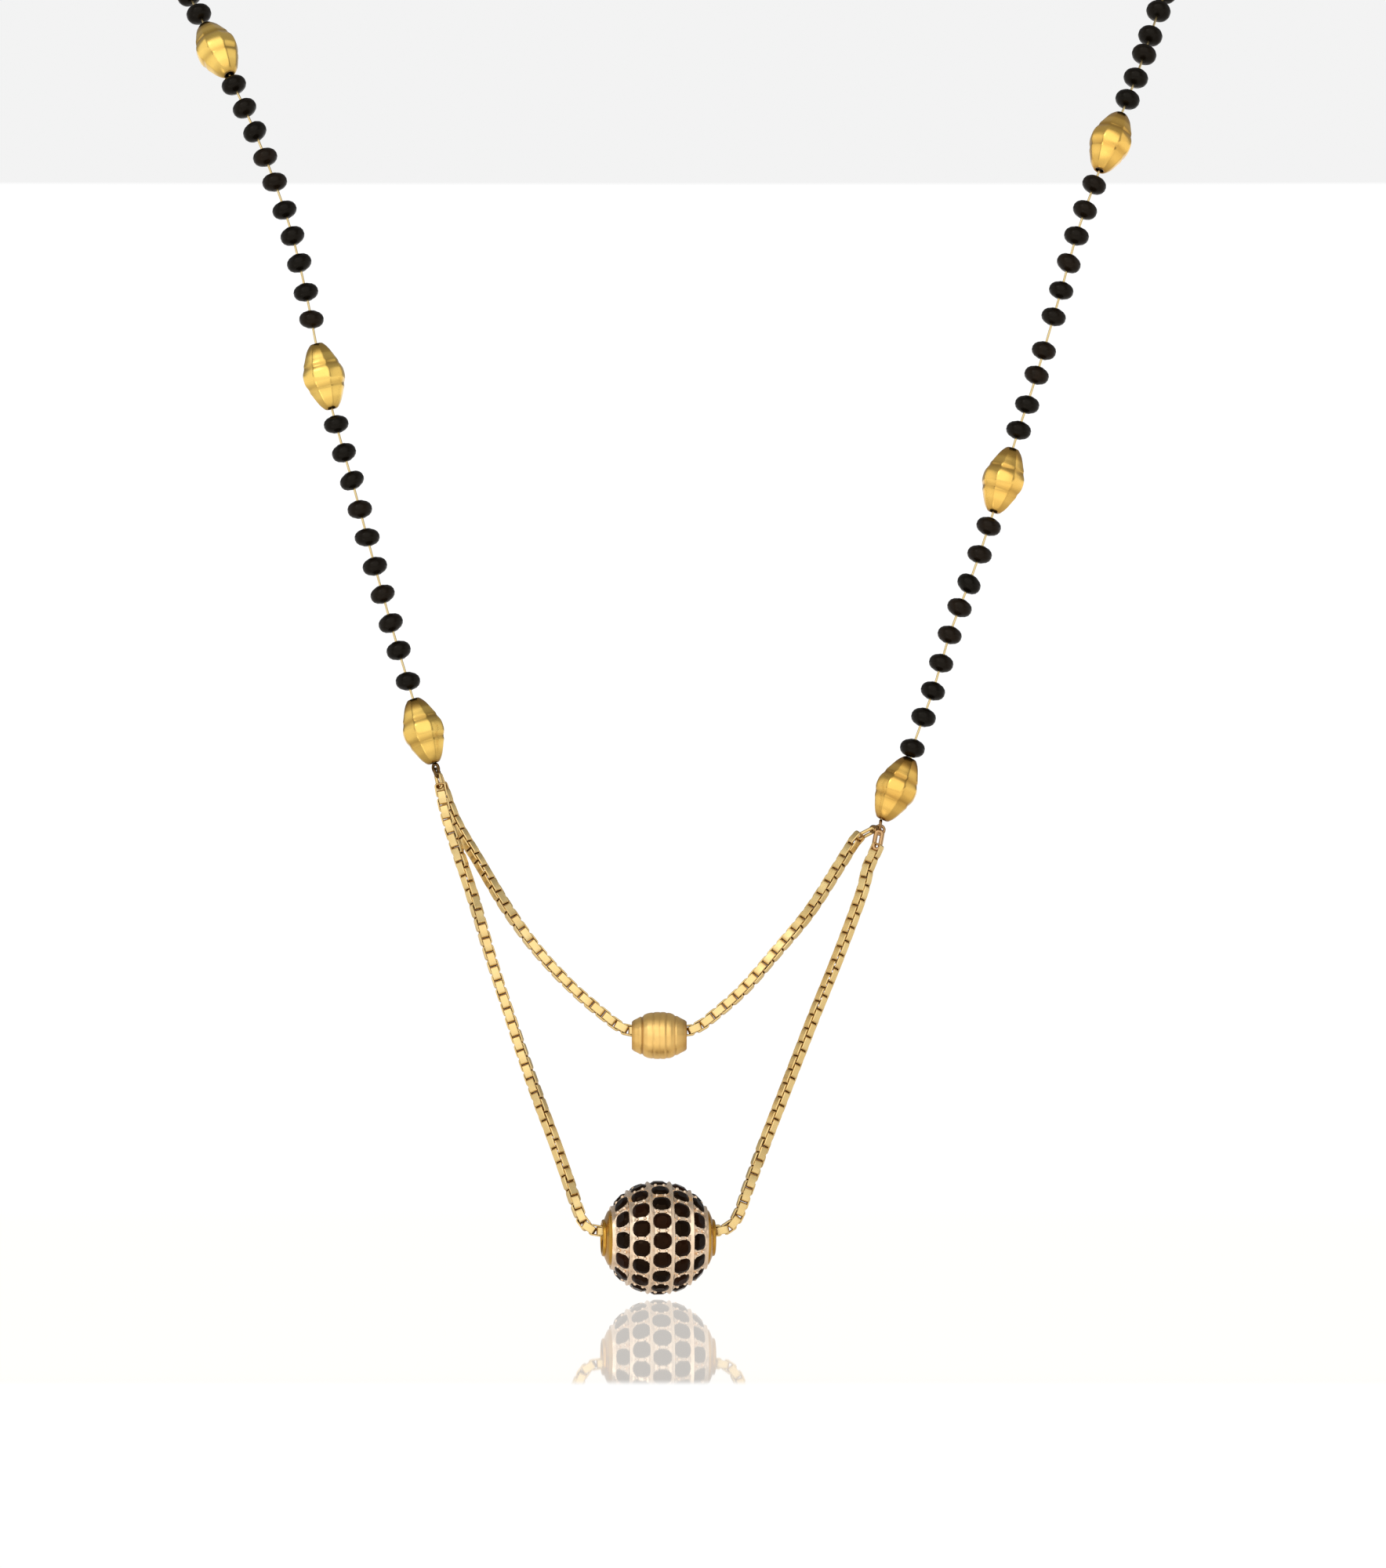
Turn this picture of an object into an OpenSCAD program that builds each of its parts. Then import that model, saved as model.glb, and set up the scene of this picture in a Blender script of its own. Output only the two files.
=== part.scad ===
// Mangalsutra: a bridal necklace that hangs round a neck. A strand of small
// black beads and gold barrel beads on a fine gold wire runs down each side.
// In front the two strands are joined by a pair of fine gold chains. The upper
// chain carries a grooved gold barrel, the lower one a ball paved with stones.
//
// +Z is up, +X is to the right of a person looking at the front, and the front
// faces -Y. The origin is at the nape, where the back of the loop rests.
// Lengths are in millimetres.

/* [Pendant ball] */
// Diameter of the paved ball
ball_d = 11.8; // [11:0.1:12.4]
// Diameter of the bore that the lower chain runs through
ball_bore_d = 3; // [3:0.1:3.4]
// Thickness of the ball's metal wall
ball_wall = 1.6; // [1.2:0.1:2]
// Diameter of the narrow rim round each end of the bore
ball_collar_d = 3.8; // [3.7:0.1:4.4]
// Length of the ball from rim to rim
ball_length = 11.6; // [11.5:0.1:11.9]
// Turn of the ball about the vertical, which shows more of its left end
ball_turn = 5; // [3:1:6]

/* [Grooved barrel] */
// Length of the barrel bead along the upper chain
barrel_l = 5.6; // [5:0.1:6]
// Largest diameter of the barrel bead
barrel_d = 4.8; // [4.4:0.1:5.2]
// Diameter of its bore
barrel_bore_d = 2.5; // [2.5:0.1:2.7]
// Depth of the turned grooves
groove = 0.16; // [0.08:0.02:0.24]

/* [Chains] */
// Diameter of the round that holds the fine box chain
chain_d = 1.3; // [1.1:0.05:1.3]

/* [Strands] */
// Diameter of a black bead
black_d = 2.6; // [2.3:0.1:2.8]
// Thickness of a black bead along the wire
black_l = 1.8; // [1.5:0.1:1.8]
// Distance from one black bead to the next
black_pitch = 3; // [2.9:0.05:3.05]
// Rounding of a black bead's edges
black_round = 0.6; // [0.4:0.05:0.7]
// Diameter across the corners of a gold bead
gold_d = 4.5; // [4.2:0.1:4.6]
// Length of a gold bead
gold_l = 6.9; // [6.6:0.1:6.9]
// Diameter of a gold bead's bore
gold_bore_d = 0.9; // [0.8:0.05:1]
// Diameter of the wire that the beads are strung on
wire_d = 0.5; // [0.4:0.05:0.55]

/* [Joining rings] */
// Outer diameter of each ring that joins the chains to a strand
ring_d = 1.2; // [1.2:0.02:1.26]
// Diameter of its wire
ring_wire = 0.3; // [0.26:0.02:0.32]

/* [Clasp] */
// Radius of each bend of the double hook at the nape, at the wire's middle
hook_r = 2.2; // [2:0.1:2.4]
// Diameter of its wire
hook_wire = 0.8; // [0.7:0.05:0.85]

/* [Hidden] */

$fn = 48;

LEFT = 0;
RIGHT = 1;

GOLD = "goldenrod";
PALE_GOLD = "khaki";
BLACK = [0.06, 0.055, 0.05];

// ---- routes ----------------------------------------------------------------
// Each route is a smooth curve through its points.

// A strand runs from the eye at its lower end up to the eye at the nape.
strand_route = [
    // left
    [[-22.9, -106, -125.1], [-24.2, -105.5, -121.2], [-25.4, -105, -117.4],
     [-27.1, -104, -111.8], [-29.3, -103, -104], [-31.2, -102, -96.9], [-33.1, -101.2, -90.2],
     [-35, -100.5, -82.6], [-36.5, -99.5, -75.5], [-38.3, -98, -68.6],
     [-41.3, -95.5, -60.6], [-44.7, -92, -53.1], [-48.2, -87, -46.2],
     [-51.5, -80.5, -40], [-54.5, -73, -34.5], [-57, -64.5, -30],
     [-58.5, -55.5, -26], [-58.5, -46.5, -22.5], [-57, -37.5, -19],
     [-53.5, -29, -15.5], [-48.5, -21.5, -12], [-42, -15, -9],
     [-34.5, -9.5, -6.5], [-26, -5.5, -4], [-17, -2.5, -2],
     [-5.3, 0, 0]],
    // right
    [[22.6, -106.6, -130.9], [24.2, -106.1, -127.4], [25.4, -105.9, -124.8],
     [26.1, -105.6, -122.5], [28, -104.8, -117.3],
     [29.9, -103.9, -111], [32.4, -103, -104.5], [34.8, -102, -97.1],
     [36.5, -101.2, -91.6], [38.7, -100.4, -84.9], [41.3, -99.4, -76],
     [43.3, -98, -69.1], [46.3, -95, -61.1], [49.3, -91, -53.6],
     [51.7, -85.5, -46.7], [54, -79, -40.5], [56, -71.5, -35],
     [58, -63, -30.5], [59, -54, -26.5], [58.5, -45, -22.5],
     [57, -36, -19], [53, -28, -15.5], [47.5, -20.5, -12],
     [41, -14.5, -9], [33.5, -9.5, -6.5], [25, -5.5, -4],
     [16.5, -2.5, -2], [5.3, 0, 0]]
];

// The chains run from the left joining ring to the right one.
upper_route = [
    [-22.4, -105.2, -126.55], [-20.9, -105.5, -130.6], [-18.3, -106.6, -135],
    [-15.4, -107.7, -139.8], [-12.3, -108.2, -144], [-8.7, -108.7, -147.8],
    [-5.4, -109.1, -150.6], [-4, -109.2, -151.6], [-2.8, -109.3, -152],
    [0, -109.3, -152],
    [2.8, -109.3, -152], [4, -109.2, -151.6], [5.4, -109.1, -150.6],
    [8.6, -108.7, -147.8], [12.1, -108.2, -143.8], [15.4, -107.7, -139.8],
    [18.5, -107.1, -135], [19.3, -106.9, -133.7], [20.2, -106.8, -132.4],
    [21.3, -106.7, -131.5]
];
lower_route = [
    [-22.5, -106.9, -126.55], [-21.8, -107, -130], [-20.7, -107.2, -133.4],
    [-19.1, -107.6, -138.2], [-17.2, -108.3, -144.6], [-15.1, -109.1, -151],
    [-12.9, -110, -157.4], [-10.5, -110.8, -163.8], [-8.9, -111.4, -168.4],
    [-8.2, -111.9, -170.4], [-7.5, -112.4, -171.7], [-6.3, -112.5, -172.3],
    [-3.1, -112.3, -172.3], [-0.1, -112, -172.3],
    [2.9, -111.7, -172.3], [6.1, -111.5, -172.3], [7.4, -111.5, -171.7],
    [8.2, -111.5, -170.4], [8.9, -111.4, -168.4], [10.6, -110.8, -163.8],
    [13.1, -110, -157.4], [15.6, -109.1, -151], [18.2, -108.3, -144.6],
    [20.6, -107.6, -138.2], [21.3, -107.3, -135.5], [22, -107.1, -133.9],
    [22.5, -107, -132.8]
];

// ---- strand tables ---------------------------------------------------------
// Place of each gold bead's middle, as a length along its strand from the
// lower eye.
gold_at = [
    [3.9, 42.05, 79.7, 117.1, 154.5, 191.9],  // left
    [3.95, 37.75, 75.3, 112.7, 150, 187.2]    // right
];
// One row for each run of black beads, above the gold bead of the same number:
// [number of black beads, distance from the gold bead's middle to the first]
black_runs = [
    [[10, 5.4], [10, 6.05], [10, 5.2], [10, 5.2], [10, 5.2], [6, 5.2]],
    [[9, 4.5], [10, 5.25], [10, 5.2], [10, 5.2], [10, 5.2], [9, 5.2]]
];
// How far each black bead of a side's first run, and of its other runs, has
// slid up along the wire from its even place
black_slide = [
    [[0, 0.35, 0.3, 0.4, 0.4, 0.5, 0.5, 0.6, 0.6, 0.65],
     [0, -0.1, 0.05, 0, -0.1, 0.1, 0, 0.05, -0.05, -0.1]],
    [[0, 0.4, 0.3, 0.3, 0.35, 0.35, 0, 0.25, 0.3, 0],
     [0.2, 0, 0.2, -0.15, 0.5, 0.35, 0.3, 0.3, 0.25, 0.2]]
];
// Tilt of each black bead on its wire, seen from the front, in degrees
black_tilt = [
    [12, -1, -8, -6, 0, 9, 6, -12, -4, 4],
    [-4, -6, 1, -1, 0, -1, 13, -5, 2, 4]
];

// Half of a gold bead's outline, from its waist to its end:
// [share of half the length, share of the radius, turn of the corners in
// steps of half a side]
gold_sections = [
    [0.000, 1.000, 0],
    [0.150, 0.985, 0],
    [0.285, 0.945, 0],
    [0.320, 0.905, 0],
    [0.370, 0.895, 0],
    [0.500, 0.810, 0],
    [0.660, 0.690, 0],
    [0.780, 0.575, 0],
    [0.900, 0.440, 0],
    [1.000, 0.300, 0]
];
gold_sides = 8;

// Half of the grooved barrel's outline, from its middle to its end:
// [distance from the middle, radius, as shares of half the length and of the
// largest radius]
barrel_sections = [
    [0.20, 1.00], [0.42, 0.95], [0.62, 0.83], [0.80, 0.71], [1.00, 0.62]
];

ball_at = [-0.1, -112, -173.05];
barrel_at = [0, -109.3, -152.5];

// ---- curve functions -------------------------------------------------------
function unit(v) = v / norm(v);
function blend(a, b, c, d, t) = 0.5 * (2 * b + (c - a) * t
    + (2 * a - 5 * b + 4 * c - d) * t * t
    + (3 * b - a - 3 * c + d) * t * t * t);
function smooth(p, n) = let(m = len(p) - 1)
    [for (i = [0:m - 1], j = [0:n - 1])
        blend(p[max(i - 1, 0)], p[i], p[i + 1], p[min(i + 2, m)], j / n),
     p[m]];
function lengths(q) =
    [for (i = 0, s = 0; i < len(q);
          s = s + (i + 1 < len(q) ? norm(q[i + 1] - q[i]) : 0), i = i + 1) s];
function before(s, l) = len([for (v = l) if (v <= s) 1]) - 1;
function along(q, l, s) =
    let(i = max(0, min(before(s, l), len(q) - 2)),
        t = (s - l[i]) / (l[i + 1] - l[i]))
    q[i] + (q[i + 1] - q[i]) * t;
function heading(q, l, s) = unit(along(q, l, s + 0.6) - along(q, l, s - 0.6));
// Direction v turned by a about Y, the line of sight
function turned(v, a) = [v[0] * cos(a) + v[2] * sin(a), v[1],
                         v[2] * cos(a) - v[0] * sin(a)];

strand = [for (side = [LEFT, RIGHT]) smooth(strand_route[side], 4)];
strand_s = [for (side = [LEFT, RIGHT]) lengths(strand[side])];
function strand_point(side, s) = along(strand[side], strand_s[side], s);
function strand_way(side, s) = heading(strand[side], strand_s[side], s);
function strand_end(side) = strand_s[side][len(strand_s[side]) - 1];

// ---- shared shapes ---------------------------------------------------------
// Children stand at p with their Z along v
module point_along(p, v) {
    translate(p)
        rotate([0, acos(v[2] / norm(v)), atan2(v[1], v[0])])
            children();
}

// A round rod from a to b
module rod(a, b, d) {
    point_along(a, b - a) cylinder(h = norm(b - a), d = d);
}

// A ring of round wire, measured at the wire's middle, that lies in XY
module wire_ring(r, d) {
    rotate_extrude() translate([r, 0]) circle(d = d);
}

// A tube swept along q, closed at both ends
module tube(q, d, sides) {
    m = len(q) - 1;
    way = [for (i = [0:m]) unit(q[min(i + 1, m)] - q[max(i - 1, 0)])];
    points = [for (i = [0:m])
        let(a = unit(cross(way[i], [0, 1, 0])), b = cross(way[i], a))
        for (k = [0:sides - 1])
            q[i] + d / 2 * (a * cos(360 * (k + 0.5) / sides)
                            + b * sin(360 * (k + 0.5) / sides))];
    walls = [for (i = [0:m - 1], k = [0:sides - 1])
        let(n = (k + 1) % sides)
        each [[i * sides + k, i * sides + n, (i + 1) * sides + n],
              [i * sides + k, (i + 1) * sides + n, (i + 1) * sides + k]]];
    ends = [[for (k = [sides - 1:-1:0]) k],
            [for (k = [0:sides - 1]) m * sides + k]];
    polyhedron(points, concat(walls, ends), convexity = 6);
}

// ---- pendant ---------------------------------------------------------------
module ball_pendant() {
    color(GOLD)
    translate(ball_at) rotate([0, 0, ball_turn]) rotate([0, 90, 0])
        difference() {
            union() {
                intersection() {
                    sphere(d = ball_d, $fn = 96);
                    cube([20, 20, ball_length - 0.4], center = true);
                }
                cylinder(h = ball_length, d = ball_collar_d, center = true);
            }
            cylinder(h = 20, d = ball_bore_d, center = true);
            sphere(d = ball_d - 2 * ball_wall, $fn = 96);
        }
}

module lower_chain() {
    color(PALE_GOLD) tube(smooth(lower_route, 1), chain_d, 8);
}

// ---- grooved barrel --------------------------------------------------------
module grooved_barrel() {
    h = barrel_l / 2;
    r = barrel_d / 2;
    half = [for (s = barrel_sections) [s[1] * r, s[0] * h]];
    color(PALE_GOLD)
    translate(barrel_at) rotate([0, 90, 0])
        difference() {
            rotate_extrude() polygon(concat(
                [[barrel_bore_d / 2, h]],
                [for (i = [len(half) - 1:-1:0]) half[i]],
                [for (p = half) [p[0], -p[1]]],
                [[barrel_bore_d / 2, -h]]));
            for (s = [0.2, 0.62], side = [-1, 1])
                translate([0, 0, side * s * h])
                    wire_ring(r * (s > 0.5 ? 0.83 : 1), 2 * groove);
        }
}

module upper_chain() {
    color(PALE_GOLD) tube(smooth(upper_route, 1), chain_d, 8);
}

// ---- joining rings ---------------------------------------------------------
// Each hangs in the eye at the lower end of its strand.
eye_r = 0.45;
eye_wire = 0.34;
ring_r = (ring_d - ring_wire) / 2;

// The way up from each ring through its eye, and the ways that the hole of the
// eye and the hole of the ring face
eye_up = [[-0.3, 0.12, 0.95], [0.1, 0.05, 0.99]];
eye_face = [[0.82, 0.57, 0], [1, 0, 0]];
ring_face = [[-0.87, 0.5, 0], [0, 1, 0]];

function eye_way(side) = unit(eye_up[side]);
function eye_centre(side) = strand_point(side, 0) - eye_way(side) * 0.15;
function ring_centre(side) = eye_centre(side)
    - eye_way(side) * (ring_r + 0.04);
// The part of v that is square to the way up through the eye
function square_to_eye(side, v) = v - eye_way(side) * (v * eye_way(side));

module joining_ring(side) {
    color(GOLD)
    point_along(ring_centre(side), square_to_eye(side, ring_face[side]))
        wire_ring(ring_r, ring_wire);
}

// ---- strands ---------------------------------------------------------------
// The eye at a strand's upper end hangs on the hook's outermost point, with the
// wire of the eye just inside the bend
nape_eye_r = 0.95;
nape_eye_wire = wire_d + 0.1;
nape_eye_x = 2 * hook_r + nape_eye_r - (nape_eye_wire + hook_wire) / 2 - 0.06;

module black_bead() {
    rotate_extrude() {
        translate([0, -black_l / 2])
            square([black_d / 2 - black_round, black_l]);
        translate([0, -black_l / 2 + black_round])
            square([black_d / 2, black_l - 2 * black_round]);
        for (side = [-1, 1])
            translate([black_d / 2 - black_round,
                       side * (black_l / 2 - black_round)])
                circle(r = black_round);
    }
}

// A run of black beads on their wire. The wire's ends lie in the bores of the
// gold beads above and below. The first run's wire passes through the lowest
// gold bead and ends in an eye, and the last run's ends in the eye at the nape.
module black_run(side, k) {
    count = black_runs[side][k - 1][0];
    first = gold_at[side][k - 1] + black_runs[side][k - 1][1];
    slide = black_slide[side][k == 1 ? 0 : 1];
    s = [for (i = [0:count - 1]) first + black_pitch * i + slide[i]];
    at = [for (v = s) strand_point(side, v)];
    low = gold_at[side][k - 1];
    low_p = strand_point(side, low);
    low_v = strand_way(side, low);
    last = k == len(black_runs[side]);
    high = last ? strand_end(side) : gold_at[side][k];
    high_p = strand_point(side, high);
    high_v = strand_way(side, high);
    eye_p = eye_centre(side);
    nape_v = side == LEFT ? [1, 0, 0] : [-1, 0, 0];
    nape_p = -nape_v * nape_eye_x;
    color(BLACK) {
        for (i = [0:count - 1])
            point_along(at[i], turned(strand_way(side, s[i]),
                                      black_tilt[side][i]))
                black_bead();
        for (i = [0:count - 2]) {
            u = unit(at[i + 1] - at[i]);
            rod(at[i] + u * 0.3, at[i + 1] - u * 0.3, wire_d);
        }
        // lower end
        rod(low_p + low_v * gold_l * 0.51, at[0], wire_d);
        rod(k == 1 ? eye_p + eye_way(side) * eye_r : low_p + low_v * 0.3,
            low_p + low_v * gold_l * 0.57, wire_d * 0.8);
        if (k == 1)
            point_along(eye_p, square_to_eye(side, eye_face[side]))
                wire_ring(eye_r, eye_wire);
        // upper end
        if (last) {
            rod(at[count - 1], nape_p - nape_v * nape_eye_r, wire_d);
            translate(nape_p) wire_ring(nape_eye_r, nape_eye_wire);
        } else {
            rod(at[count - 1], high_p - high_v * gold_l * 0.51, wire_d);
            rod(high_p - high_v * gold_l * 0.57, high_p - high_v * 0.3,
                wire_d * 0.8);
        }
    }
}

// A gold barrel bead cut with flat facets, with its length along Z
module gold_bead_shape() {
    n = gold_sides;
    rows = concat(
        [for (i = [len(gold_sections) - 1:-1:1])
            [-gold_sections[i][0], gold_sections[i][1], gold_sections[i][2]]],
        gold_sections);
    m = len(rows) - 1;
    points = [for (w = rows, k = [0:n - 1])
        let(a = 360 / n * (k + w[2] / 2))
        [w[1] * gold_d / 2 * cos(a), w[1] * gold_d / 2 * sin(a),
         w[0] * gold_l / 2]];
    walls = [for (i = [0:m - 1], k = [0:n - 1])
        let(p = (k + 1) % n,
            a = i * n + k, b = i * n + p,
            c = (i + 1) * n + k, d = (i + 1) * n + p)
        each (rows[i][2] <= rows[i + 1][2]
            ? [[a, b, c], [b, d, c]]
            : [[a, b, d], [a, d, c]])];
    ends = [[for (k = [n - 1:-1:0]) k], [for (k = [0:n - 1]) m * n + k]];
    difference() {
        polyhedron(points, [for (f = concat(walls, ends))
            [for (i = [len(f) - 1:-1:0]) f[i]]], convexity = 4);
        cylinder(h = gold_l + 2, d = gold_bore_d, center = true);
    }
}

module gold_bead(side, k) {
    s = gold_at[side][k - 1];
    color(GOLD) point_along(strand_point(side, s), strand_way(side, s))
        rotate([0, 0, 22.5 + 90 * side]) gold_bead_shape();
}

// ---- clasp -----------------------------------------------------------------
// A double hook of one wire, flat against the nape
module clasp_hook() {
    color(GOLD) rotate([90, 0, 0])
        for (side = [0, 180])
            rotate([0, 0, side]) {
                translate([-hook_r, 0, 0])
                    rotate_extrude(angle = 270)
                        translate([hook_r, 0]) circle(d = hook_wire);
                translate([-hook_r, -hook_r, 0]) sphere(d = hook_wire);
            }
}

ball_pendant();
lower_chain();
grooved_barrel();
upper_chain();
joining_ring(LEFT);  // left_joining_ring
joining_ring(RIGHT);  // right_joining_ring
clasp_hook();
gold_bead(LEFT, 1);  // left_gold_bead_1
gold_bead(LEFT, 2);  // left_gold_bead_2
gold_bead(LEFT, 3);  // left_gold_bead_3
gold_bead(LEFT, 4);  // left_gold_bead_4
gold_bead(LEFT, 5);  // left_gold_bead_5
gold_bead(LEFT, 6);  // left_gold_bead_6
gold_bead(RIGHT, 1);  // right_gold_bead_1
gold_bead(RIGHT, 2);  // right_gold_bead_2
gold_bead(RIGHT, 3);  // right_gold_bead_3
gold_bead(RIGHT, 4);  // right_gold_bead_4
gold_bead(RIGHT, 5);  // right_gold_bead_5
gold_bead(RIGHT, 6);  // right_gold_bead_6
black_run(LEFT, 1);  // left_black_run_1
black_run(LEFT, 2);  // left_black_run_2
black_run(LEFT, 3);  // left_black_run_3
black_run(LEFT, 4);  // left_black_run_4
black_run(LEFT, 5);  // left_black_run_5
black_run(LEFT, 6);  // left_black_run_6
black_run(RIGHT, 1);  // right_black_run_1
black_run(RIGHT, 2);  // right_black_run_2
black_run(RIGHT, 3);  // right_black_run_3
black_run(RIGHT, 4);  // right_black_run_4
black_run(RIGHT, 5);  // right_black_run_5
black_run(RIGHT, 6);  // right_black_run_6
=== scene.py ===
"""The mangalsutra's looks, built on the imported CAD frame. Lengths below are in millimetres and are scaled to metres when a
mesh is made. The frame is the CAD one: origin at the nape, +Z up, +X to the viewer's right, the front faces -Y."""

import math

import bpy
import numpy as np
from mathutils import Matrix, Vector

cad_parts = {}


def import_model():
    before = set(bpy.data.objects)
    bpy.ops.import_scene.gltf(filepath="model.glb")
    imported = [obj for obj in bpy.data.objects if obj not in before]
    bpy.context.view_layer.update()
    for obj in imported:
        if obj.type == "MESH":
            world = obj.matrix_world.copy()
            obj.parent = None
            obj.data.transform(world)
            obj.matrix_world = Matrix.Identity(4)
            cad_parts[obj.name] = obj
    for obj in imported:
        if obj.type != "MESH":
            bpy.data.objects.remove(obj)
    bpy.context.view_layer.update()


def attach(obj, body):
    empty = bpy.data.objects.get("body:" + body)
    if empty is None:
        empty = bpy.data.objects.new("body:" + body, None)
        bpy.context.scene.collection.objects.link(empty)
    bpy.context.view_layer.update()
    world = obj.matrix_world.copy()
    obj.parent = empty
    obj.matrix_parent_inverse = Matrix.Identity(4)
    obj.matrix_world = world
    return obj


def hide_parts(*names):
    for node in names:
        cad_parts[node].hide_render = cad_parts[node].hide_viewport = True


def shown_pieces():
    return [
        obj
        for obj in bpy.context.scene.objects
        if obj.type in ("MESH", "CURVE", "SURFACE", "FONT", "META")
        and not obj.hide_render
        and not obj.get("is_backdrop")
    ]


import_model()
rng = np.random.default_rng(11)

MM = 0.001
LEFT, RIGHT = 0, 1
SIDES = ("left", "right")

# ---- the CAD source's routes and tables ------------------------------------
STRAND = [
    [[-22.9, -106, -125.1], [-24.2, -105.5, -121.2], [-25.4, -105, -117.4],
     [-27.1, -104, -111.8], [-29.3, -103, -104], [-31.2, -102, -96.9], [-33.1, -101.2, -90.2],
     [-35, -100.5, -82.6], [-36.5, -99.5, -75.5], [-38.3, -98, -68.6],
     [-41.3, -95.5, -60.6], [-44.7, -92, -53.1], [-48.2, -87, -46.2],
     [-51.5, -80.5, -40], [-54.5, -73, -34.5], [-57, -64.5, -30],
     [-58.5, -55.5, -26], [-58.5, -46.5, -22.5], [-57, -37.5, -19],
     [-53.5, -29, -15.5], [-48.5, -21.5, -12], [-42, -15, -9],
     [-34.5, -9.5, -6.5], [-26, -5.5, -4], [-17, -2.5, -2], [-5.3, 0, 0]],
    [[22.6, -106.6, -130.9], [24.2, -106.1, -127.4], [25.4, -105.9, -124.8],
     [26.1, -105.6, -122.5], [28, -104.8, -117.3],
     [29.9, -103.9, -111], [32.4, -103, -104.5], [34.8, -102, -97.1],
     [36.5, -101.2, -91.6], [38.7, -100.4, -84.9], [41.3, -99.4, -76],
     [43.3, -98, -69.1], [46.3, -95, -61.1], [49.3, -91, -53.6],
     [51.7, -85.5, -46.7], [54, -79, -40.5], [56, -71.5, -35],
     [58, -63, -30.5], [59, -54, -26.5], [58.5, -45, -22.5],
     [57, -36, -19], [53, -28, -15.5], [47.5, -20.5, -12],
     [41, -14.5, -9], [33.5, -9.5, -6.5], [25, -5.5, -4],
     [16.5, -2.5, -2], [5.3, 0, 0]],
]
UPPER = [
    [-22.4, -105.2, -126.55], [-20.9, -105.5, -130.6], [-18.3, -106.6, -135],
    [-15.4, -107.7, -139.8], [-12.3, -108.2, -144], [-8.7, -108.7, -147.8],
    [-5.4, -109.1, -150.6], [-4, -109.2, -151.6], [-2.8, -109.3, -152],
    [0, -109.3, -152],
    [2.8, -109.3, -152], [4, -109.2, -151.6], [5.4, -109.1, -150.6],
    [8.6, -108.7, -147.8], [12.1, -108.2, -143.8], [15.4, -107.7, -139.8],
    [18.5, -107.1, -135], [19.3, -106.9, -133.7], [20.2, -106.8, -132.4],
    [21.3, -106.7, -131.5],
]
LOWER = [
    [-22.5, -106.9, -126.55], [-21.8, -107, -130], [-20.7, -107.2, -133.4],
    [-19.1, -107.6, -138.2], [-17.2, -108.3, -144.6], [-15.1, -109.1, -151],
    [-12.9, -110, -157.4], [-10.5, -110.8, -163.8], [-8.9, -111.4, -168.4],
    [-8.2, -111.9, -170.4], [-7.5, -112.4, -171.7], [-6.3, -112.5, -172.3],
    [-3.1, -112.3, -172.3], [-0.1, -112, -172.3],
    [2.9, -111.7, -172.3], [6.1, -111.5, -172.3], [7.4, -111.5, -171.7],
    [8.2, -111.5, -170.4], [8.9, -111.4, -168.4], [10.6, -110.8, -163.8],
    [13.1, -110, -157.4], [15.6, -109.1, -151], [18.2, -108.3, -144.6],
    [20.6, -107.6, -138.2], [21.3, -107.3, -135.5], [22, -107.1, -133.9],
    [22.5, -107, -132.8],
]
GOLD_AT = [[3.9, 42.05, 79.7, 117.1, 154.5, 191.9], [3.95, 37.75, 75.3, 112.7, 150, 187.2]]
BLACK_RUNS = [
    [[10, 5.4], [10, 6.05], [10, 5.2], [10, 5.2], [10, 5.2], [6, 5.2]],
    [[9, 4.5], [10, 5.25], [10, 5.2], [10, 5.2], [10, 5.2], [9, 5.2]],
]
BLACK_SLIDE = [
    [[0, 0.35, 0.3, 0.4, 0.4, 0.5, 0.5, 0.6, 0.6, 0.65], [0, -0.1, 0.05, 0, -0.1, 0.1, 0, 0.05, -0.05, -0.1]],
    [[0, 0.4, 0.3, 0.3, 0.35, 0.35, 0, 0.25, 0.3, 0], [0.2, 0, 0.2, -0.15, 0.5, 0.35, 0.3, 0.3, 0.25, 0.2]],
]
BLACK_TILT = [[12, -1, -8, -6, 0, 9, 6, -12, -4, 4], [-4, -6, 1, -1, 0, -1, 13, -5, 2, 4]]
BLACK_PITCH = 3.0
GOLD_L, GOLD_D, GOLD_BORE = 6.9, 4.5, 0.9
BALL_AT, BALL_TURN = np.array([-0.1, -112, -173.05]), 5.0
BARREL_AT = np.array([0, -109.3, -152.5])
EYE_R, EYE_WIRE = 0.45, 0.34
RING_R, RING_WIRE = 0.45, 0.3
EYE_UP = [[-0.3, 0.12, 0.95], [0.1, 0.05, 0.99]]
EYE_FACE = [[0.82, 0.57, 0], [1, 0, 0]]
RING_FACE = [[-0.87, 0.5, 0], [0, 1, 0]]
HOOK_R, HOOK_WIRE = 2.2, 0.8
WIRE = 0.5
NAPE_EYE_R, NAPE_EYE_WIRE = 0.95, 0.6
NAPE_EYE_X = 2 * HOOK_R + NAPE_EYE_R - (NAPE_EYE_WIRE + HOOK_WIRE) / 2 - 0.06


# ---- curves ----------------------------------------------------------------
def unit(v):
    v = np.asarray(v, float)
    return v / np.linalg.norm(v)


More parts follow.
